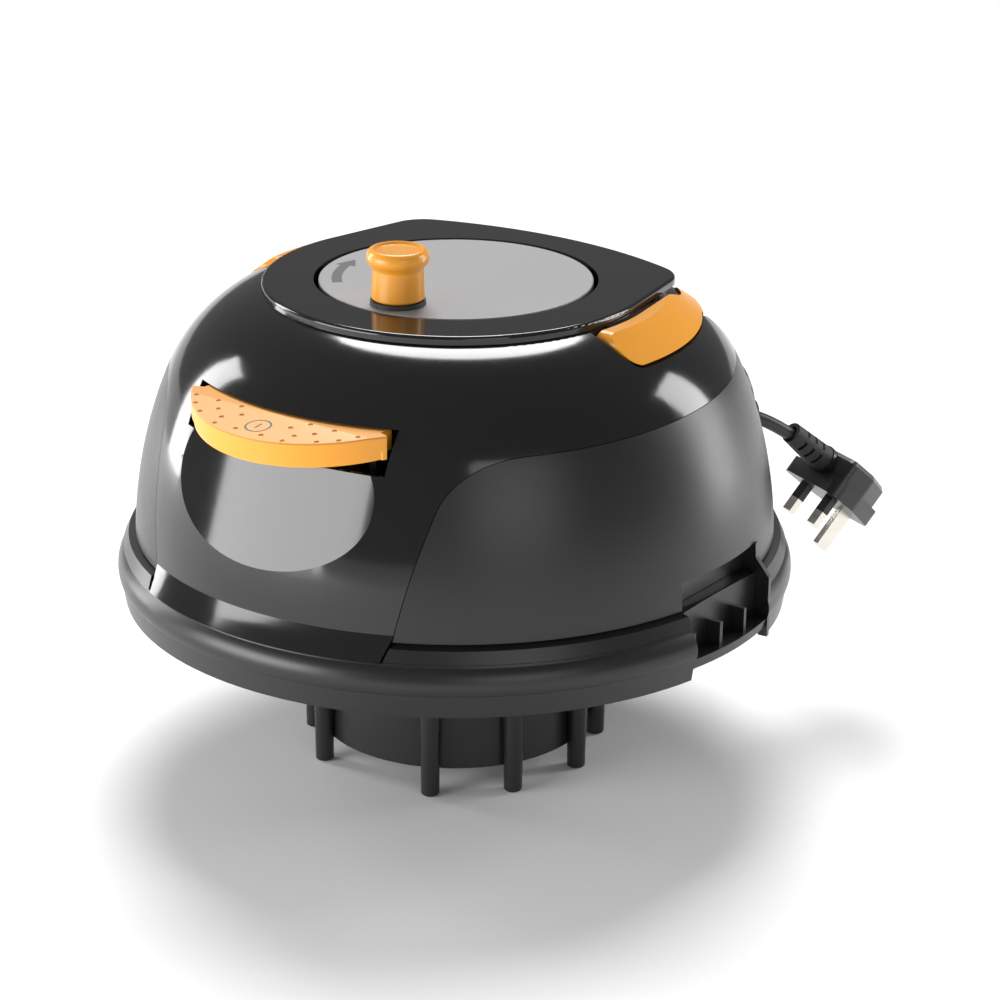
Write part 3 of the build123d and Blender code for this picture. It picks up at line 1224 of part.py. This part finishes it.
def save_all():
    """Write every node."""
    nodes = {
        "top_shell": make_top_shell(),
        "top_plate": make_top_plate(),
        "side_shell": make_side_shell(),
        "rear_cover": make_rear_cover(),
        "grip_well": make_grip_well(),
        "flange_ring": make_flange_ring(),
        "tub_gasket": make_gasket(),
        "base_pan": make_base_pan(),
        "intake_duct": make_intake_duct(),
        "intake_grille": make_intake_grille(),
        "motor_hood": make_motor_hood(),
        "hood_screws": make_hood_screws(),
        "lower_seal": make_lower_seal(),
        "upper_seal": make_upper_seal(),
        "fan_casing": make_fan_casing(),
        "fan_impeller": make_impeller(),
        "fan_diffuser": make_diffuser(),
        "shaft_nut": make_shaft_nut(),
        "lower_bracket": make_lower_bracket(),
        "motor_frame": make_motor_frame(),
        "field_stack": make_field_stack(),
        "field_coils": make_field_coils(),
        "armature_core": make_armature(),
        "armature_coils": make_armature_windings(),
        "commutator": make_commutator(),
        "motor_shaft": make_motor_shaft(),
        "lower_bearing": make_bearing(FAN_TOP - 2.5),
        "upper_bearing": make_bearing(FRAME_TOP - 4.0 - BEARING_T),
        "brush_holders": make_brush_holders(),
        "carbon_brushes": make_brushes(),
        "reel_drum": make_reel_drum(),
        "wound_cable": make_wound_cable(),
        "reel_spindle": make_spindle(),
        "spindle_clip": make_circlip(),
        "slip_rings": make_slip_rings(),
        "contact_block": make_contact_block(),
        "winder_disc": make_winder_disc(),
        "turn_arrow": arrow_shape(0.25),
        "crank_knob": make_crank_knob(),
        "knob_pin": make_knob_pin(),
        "knob_collar": make_knob_collar(),
        "switch_paddle": make_switch_paddle(),
        "power_symbol": symbol_shape(0.4),
        "switch_bracket": make_switch_bracket(),
        "paddle_pin": make_paddle_pin(),
        "paddle_springs": make_paddle_springs(),
        "switch_body": make_switch_body(),
        "switch_plunger": plunger_shape(0),
        "carry_handle": make_carry_handle(),
        "handle_pins": Compound(children=[s for piece in mirrored(handle_pin()) for s in piece.solids()]),
        "handle_bushes": make_handle_bushes(),
        "exhaust_foam": make_exhaust_foam(),
        "terminal_block": make_terminal_block(),
        "cable_gland": make_cable_gland(),
        "inner_lead": make_inner_lead(),
        "mains_cord": make_mains_cord(),
        "plug_boot": make_plug_boot(),
        "plug_body": make_plug_body(),
        "plug_pins": make_plug_pins(),
        "pin_sleeves": make_pin_sleeves(),
    }
    for name, shape in nodes.items():
        save(name, shape)


save_all()
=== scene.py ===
import json
import math
import bpy
from mathutils import Matrix, Vector


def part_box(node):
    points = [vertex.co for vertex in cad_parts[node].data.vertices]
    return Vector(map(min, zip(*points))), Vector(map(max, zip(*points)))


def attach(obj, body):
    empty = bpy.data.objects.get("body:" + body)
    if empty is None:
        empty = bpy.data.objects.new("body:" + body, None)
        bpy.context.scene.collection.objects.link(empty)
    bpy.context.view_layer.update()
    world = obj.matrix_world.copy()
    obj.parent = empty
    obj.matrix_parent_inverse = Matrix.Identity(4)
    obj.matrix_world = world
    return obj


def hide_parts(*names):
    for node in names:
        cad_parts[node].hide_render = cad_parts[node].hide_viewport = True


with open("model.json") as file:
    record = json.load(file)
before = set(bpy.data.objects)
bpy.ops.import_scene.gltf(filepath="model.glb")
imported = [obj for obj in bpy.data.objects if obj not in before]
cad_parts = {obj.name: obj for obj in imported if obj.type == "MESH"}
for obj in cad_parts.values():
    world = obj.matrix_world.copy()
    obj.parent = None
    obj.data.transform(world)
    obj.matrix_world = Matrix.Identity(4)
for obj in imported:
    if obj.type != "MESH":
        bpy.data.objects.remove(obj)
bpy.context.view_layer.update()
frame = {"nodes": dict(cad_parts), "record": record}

NODES = frame["nodes"]
TOP_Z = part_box("top_plate")[1][2]


# ---- shader maths written as expressions
class Sock:
    """A node socket that can be used in sums and products."""

    def __init__(self, tree, socket):
        self.tree, self.socket = tree, socket

    def _math(self, operation, a, b):
        node = self.tree.tree.nodes.new("ShaderNodeMath")
        node.operation = operation
        for slot, value in zip(node.inputs, (a, b)):
            self.tree.put(slot, value)
        return Sock(self.tree, node.outputs[0])

    def __add__(self, other):
        return self._math("ADD", self, other)

    def __radd__(self, other):
        return self._math("ADD", other, self)

    def __sub__(self, other):
        return self._math("SUBTRACT", self, other)

    def __rsub__(self, other):
        return self._math("SUBTRACT", other, self)

    def __mul__(self, other):
        return self._math("MULTIPLY", self, other)

    def __rmul__(self, other):
        return self._math("MULTIPLY", other, self)


class Shader:
    """A material's node tree, and the one way in which its nodes are made."""

    def __init__(self, name):
        self.material = bpy.data.materials.new(name)
        self.material.use_nodes = True
        self.tree = self.material.node_tree
        self.principled = self.tree.nodes["Principled BSDF"]

    def put(self, slot, value):
        if isinstance(value, Sock):
            self.tree.links.new(value.socket, slot)
        else:
            slot.default_value = value

    def node(self, kind, out=0, settings=None, **inputs):
        made = self.tree.nodes.new(kind)
        for key, value in (settings or {}).items():
            setattr(made, key, value)
        for key, value in inputs.items():
            numbered = key[0] == "i" and key[1:].isdigit()
            self.put(made.inputs[int(key[1:]) if numbered else key.replace("_", " ")], value)
        return Sock(self, made.outputs[out])

    def coords(self):
        return self.node("ShaderNodeTexCoord", out="Object")

    def noise(self, scale, detail=3.0, rough=0.5, vector=None):
        return self.node("ShaderNodeTexNoise", out="Fac", Vector=vector or self.coords(),
                         Scale=scale, Detail=detail, Roughness=rough)

    def mix(self, fac, a, b):
        """A blend of two colours."""
        made = self.tree.nodes.new("ShaderNodeMix")
        made.data_type = "RGBA"
        self.put(made.inputs[0], fac)
        self.put(made.inputs[6], a)
        self.put(made.inputs[7], b)
        return Sock(self, made.outputs[2])

    def bump(self, height, distance, strength=1.0):
        return self.node("ShaderNodeBump", Strength=strength, Distance=distance, Height=height)

    def finish(self, **values):
        for key, value in values.items():
            self.put(self.principled.inputs[key.replace("_", " ")], value)
        return self.material


def rgba(r, g, b):
    return (r, g, b, 1.0)


SWIRL = 9.0                 # scale of the slow drift in a moulding's tone
WEAR = SWIRL * 14.0         # scale of the uneven sheen
GRAIN_STRENGTH = 0.6
COAT_ROUGH = 0.08


def moulded(name, dark, light, rough, rough_spread, grain_scale, grain_height, coat=0.0):
    """Moulded plastic: slow drift of tone, uneven sheen and a fine surface grain."""
    s = Shader(name)
    drift = s.noise(SWIRL, detail=4.0)
    fine = s.noise(grain_scale, detail=2.0, rough=0.6)
    wear = s.noise(WEAR, detail=5.0, rough=0.65)
    colour = s.mix(drift * 0.7 + fine * 0.3, rgba(*dark), rgba(*light))
    return s.finish(Base_Color=colour, Roughness=rough + (wear - 0.5) * rough_spread, Coat_Weight=coat,
                    Coat_Roughness=COAT_ROUGH, Normal=s.bump(fine, grain_height, GRAIN_STRENGTH))


def metal(name, dark, light, rough, streak):
    """Drawn or turned metal with fine streaks."""
    s = Shader(name)
    stretched = s.node("ShaderNodeVectorMath", settings={"operation": "MULTIPLY"}, i0=s.coords(), i1=streak)
    streaks = s.noise(1.0, detail=4.0, vector=stretched)
    spots = s.noise(40.0, detail=4.0)
    return s.finish(Base_Color=s.mix(streaks, rgba(*dark), rgba(*light)), Metallic=1.0,
                    Roughness=rough + streaks * 0.12 + spots * 0.05, Normal=s.bump(streaks, 0.00002, 0.4))


PADDLE_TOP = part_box("switch_paddle")[1][2]
PADDLE_SLOPE_Y = -0.1355            # in front of this the paddle's top slopes down
PADDLE_SLOPE = math.tan(math.radians(6.8))
DIMPLE_DEPTH = 0.0007
PADDLE_GRAIN = 2200.0


def paddle_plastic():
    """The paddle's orange with painted light: paler on top as a painted sheen, painted shade deeper in the
    dimples, warmer down its sides.
    """
    s = Shader("paddle_orange_plastic")
    y = s.node("ShaderNodeSeparateXYZ", out="Y", Vector=s.coords())
    z = s.node("ShaderNodeSeparateXYZ", out="Z", Vector=s.coords())
    run = s.node("ShaderNodeMath", settings={"operation": "MINIMUM"}, i0=y - PADDLE_SLOPE_Y, i1=0.0)
    depth = PADDLE_TOP + run * PADDLE_SLOPE - z
    # painted shade: points just below the sloped top face, in the dimples, get a mask for a darker orange
    dimple_painted_shade = s.node("ShaderNodeMapRange", Value=depth,
                    From_Min=DIMPLE_DEPTH * 0.1, From_Max=DIMPLE_DEPTH * 0.6)
    # painted light: this mask splits the paler top, a painted sheen, from the deeper orange of the side walls
    side = s.node("ShaderNodeMapRange", Value=depth,
                  From_Min=DIMPLE_DEPTH * 1.15, From_Max=DIMPLE_DEPTH * 1.6)
    drift = s.noise(SWIRL, detail=4.0)
    fine = s.noise(PADDLE_GRAIN, detail=2.0, rough=0.6)
    # paler orange for the top face: painted sheen where the light falls on top
    top_painted_light = s.mix(drift, rgba(0.78, 0.35, 0.075), rgba(0.84, 0.39, 0.09))
    # painted shade in the dimples mixed into the top colour
    top_painted_light = s.mix(dimple_painted_shade, top_painted_light, rgba(0.56, 0.20, 0.03))
    wall = s.mix(drift, rgba(0.84, 0.34, 0.02), rgba(0.9, 0.38, 0.03))
    return s.finish(Base_Color=s.mix(side, top_painted_light, wall), Roughness=0.3 + fine * 0.06, Coat_Roughness=COAT_ROUGH,
                    Normal=s.bump(fine, 0.000006, GRAIN_STRENGTH))


# slot: name, darkest and lightest tone, roughness and its spread, grain scale and height in metres, coat
MOULDED = {
    "gloss_black": ("gloss_black_plastic", (0.0075, 0.0075, 0.008), (0.011, 0.011, 0.012),
                    0.11, 0.05, 2600.0, 0.000003, 0.1),
    "satin_black": ("satin_black_plastic", (0.009, 0.009, 0.0095), (0.014, 0.014, 0.0148),
                    0.34, 0.08, 3200.0, 0.000012),
    "disc_grey": ("winder_grey_plastic", (0.27, 0.27, 0.275), (0.30, 0.30, 0.305),
                  0.42, 0.08, 2400.0, 0.00001),
    "amber_plastic": ("amber_plastic", (0.76, 0.30, 0.022), (0.82, 0.345, 0.03),
                      0.30, 0.06, 2200.0, 0.000006),
    "dark_marking": ("printed_marking", (0.035, 0.035, 0.037), (0.055, 0.055, 0.058),
                     0.5, 0.1, 1500.0, 0.00001),
    "inner_plastic": ("inner_plastic", (0.02, 0.02, 0.021), (0.035, 0.035, 0.037),
                      0.5, 0.1, 1800.0, 0.00002),
    "black_rubber": ("black_rubber", (0.012, 0.012, 0.012), (0.02, 0.02, 0.02),
                     0.62, 0.12, 1400.0, 0.00002),
    "cable_sheath": ("cable_sheath", (0.012, 0.012, 0.013), (0.02, 0.02, 0.021),
                     0.42, 0.1, 1600.0, 0.000015),
    "plug_plastic": ("plug_plastic", (0.016, 0.016, 0.017), (0.024, 0.024, 0.025),
                     0.33, 0.1, 2000.0, 0.000012),
    "foam": ("filter_foam", (0.02, 0.02, 0.02), (0.06, 0.06, 0.06), 0.9, 0.1, 700.0, 0.0003),
    "carbon": ("carbon_brush", (0.01, 0.01, 0.01), (0.03, 0.03, 0.03), 0.6, 0.1, 900.0, 0.00002),
}
FINE_STREAK = (60.0, 60.0, 900.0)
SHEET_STREAK = (20.0, 20.0, 2400.0)     # the thin sheets of a laminated core
# slot: name, darkest and lightest tone, roughness, streaks
METALS = {
    "brass": ("plated_brass", (0.70, 0.66, 0.58), (0.86, 0.83, 0.76), 0.16, FINE_STREAK),
    "zinc_steel": ("zinc_steel", (0.50, 0.50, 0.52), (0.68, 0.68, 0.70), 0.28, FINE_STREAK),
    "laminated_steel": ("laminated_steel", (0.22, 0.22, 0.23), (0.42, 0.42, 0.43), 0.4, SHEET_STREAK),
    "copper": ("copper", (0.62, 0.26, 0.12), (0.84, 0.42, 0.24), 0.3, FINE_STREAK),
    "aluminium": ("aluminium", (0.66, 0.67, 0.68), (0.80, 0.81, 0.82), 0.3, FINE_STREAK),
    "spring_steel": ("spring_steel", (0.55, 0.55, 0.56), (0.75, 0.75, 0.76), 0.2, FINE_STREAK),
}
MATERIALS = {slot: moulded(*row) for slot, row in MOULDED.items()}
MATERIALS.update((slot, metal(*row)) for slot, row in METALS.items())
MATERIALS["orange_plastic"] = paddle_plastic()


def dress(thing, slot):
    """Give a CAD node's own slots a finish."""
    for place in thing.material_slots:
        place.material = MATERIALS[slot]


for entry in frame["record"]["subparts"]:
    dress(NODES[entry["node"]], entry["material_slot"])

# ---- camera
AZIMUTH, ELEVATION, ROLL = math.radians(36.0), math.radians(20.87), math.radians(0.53)
DISTANCE, AIM_RIGHT, AIM_UP = 1.5, 0.0223, -0.1079
LENS, SENSOR = 111.18, 36.0         # millimetres
right = Vector((math.cos(AZIMUTH), math.sin(AZIMUTH), 0))
level = Vector((-math.sin(AZIMUTH), math.cos(AZIMUTH), 0))
up = level * math.sin(ELEVATION) + Vector((0, 0, math.cos(ELEVATION)))
forward = level * math.cos(ELEVATION) - Vector((0, 0, math.sin(ELEVATION)))
camera_data = bpy.data.cameras.new("camera")
camera_data.lens, camera_data.sensor_width = LENS, SENSOR
camera = bpy.data.objects.new("camera", camera_data)
bpy.context.scene.collection.objects.link(camera)
side = right * math.cos(ROLL) + up * math.sin(ROLL)
tilt = up * math.cos(ROLL) - right * math.sin(ROLL)
place = Vector((0, 0, TOP_Z)) + right * AIM_RIGHT + up * AIM_UP - forward * DISTANCE
camera.matrix_world = Matrix((
    (side.x, tilt.x, -forward.x, place.x),
    (side.y, tilt.y, -forward.y, place.y),
    (side.z, tilt.z, -forward.z, place.z),
    (0, 0, 0, 1)))
bpy.context.scene.camera = camera

# ---- mains cord: the free end between the gland and the plug
CORD_D = 0.007
CORD_ROUTE = [(0.0906, 0.13183, 0.15479), (0.10018, 0.14577, 0.14863), (0.11119, 0.16993, 0.12506)]
cord_curve = bpy.data.curves.new("mains_cord_flex", "CURVE")
cord_curve.dimensions = "3D"
spline = cord_curve.splines.new("NURBS")
spline.points.add(len(CORD_ROUTE) - 1)
for point, (x, y, z) in zip(spline.points, CORD_ROUTE):
    point.co = (x, y, z, 1.0)
spline.order_u = 3
spline.use_endpoint_u = True
spline.resolution_u = 24
cord_curve.bevel_depth = CORD_D / 2
cord_curve.bevel_resolution = 8
cord_curve.use_fill_caps = True
flex = bpy.data.objects.new("mains_cord_flex", cord_curve)
bpy.context.scene.collection.objects.link(flex)
flex.data.materials.append(MATERIALS["cable_sheath"])
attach(flex, "casing")
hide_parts("mains_cord")


# ---- studio
def studio_plane(name, size, z, colour):
    """Pale sweep under and behind the object."""
    bpy.ops.mesh.primitive_plane_add(size=size, location=(0, 0, z))
    plane = bpy.context.object
    plane.name = name
    s = Shader(name)
    s.finish(Base_Color=s.mix(s.noise(3.0), rgba(*colour), rgba(*(c * 0.985 for c in colour))), Roughness=0.9)
    plane.data.materials.append(s.material)


def area_light(name, where, aim, width, watts, tall):
    """Soft rectangular light pointed at a place."""
    data = bpy.data.lights.new(name, "AREA")
    data.energy, data.shape = watts, "RECTANGLE"
    data.size, data.size_y = width, tall
    lamp = bpy.data.objects.new(name, data)
    bpy.context.scene.collection.objects.link(lamp)
    lamp.location = where
    lamp.rotation_euler = (Vector(aim) - Vector(where)).to_track_quat("-Z", "Y").to_euler()


FLOOR_SIZE = 40.0
PALE = (0.93, 0.93, 0.93)
WORLD_LEVEL = 0.2
studio_plane("studio_floor", FLOOR_SIZE, 0.0, PALE)
world = bpy.data.worlds.new("studio")
world.use_nodes = True
world.node_tree.nodes["Background"].inputs[0].default_value = rgba(1, 1, 1)
world.node_tree.nodes["Background"].inputs[1].default_value = WORLD_LEVEL
bpy.context.scene.world = world
bpy.context.scene.view_settings.view_transform = "Standard"


def around_camera(degrees, distance, height):
    """A place at an angle from the camera's own direction, seen from above."""
    a = AZIMUTH - math.pi / 2 + math.radians(degrees)
    return (distance * math.cos(a), distance * math.sin(a), height)


def back_sun(name, height, strength, spread):
    """Even light from behind, which whitens the floor and catches the upper edges."""
    data = bpy.data.lights.new(name, "SUN")
    data.energy, data.angle = strength, math.radians(spread)
    lamp = bpy.data.objects.new(name, data)
    bpy.context.scene.collection.objects.link(lamp)
    away = math.radians(height)
    lamp.location = level * math.cos(away) + Vector((0, 0, math.sin(away)))
    lamp.rotation_euler = (-lamp.location).to_track_quat("-Z", "Y").to_euler()


back_sun("back_sun", 52.0, 3.1, 30.0)
CENTRE = (0, 0, 0.16)
# name, degrees from the camera's side, distance, height, width, watts, height of the panel
SOFTBOXES = [
    ("softbox_front_left", -64, 1.7, 0.36, 1.3, 26.0, 0.75),
    ("fill_front", 22, 2.2, 0.8, 1.2, 7.0, 1.0),
    ("rim_left", -118, 1.6, 0.45, 0.35, 14.0, 1.3),
    ("rim_right", 108, 1.6, 0.5, 0.45, 15.0, 1.3),
]
for name, degrees, distance, height, width, watts, tall in SOFTBOXES:
    area_light(name, around_camera(degrees, distance, height), CENTRE, width, watts, tall)
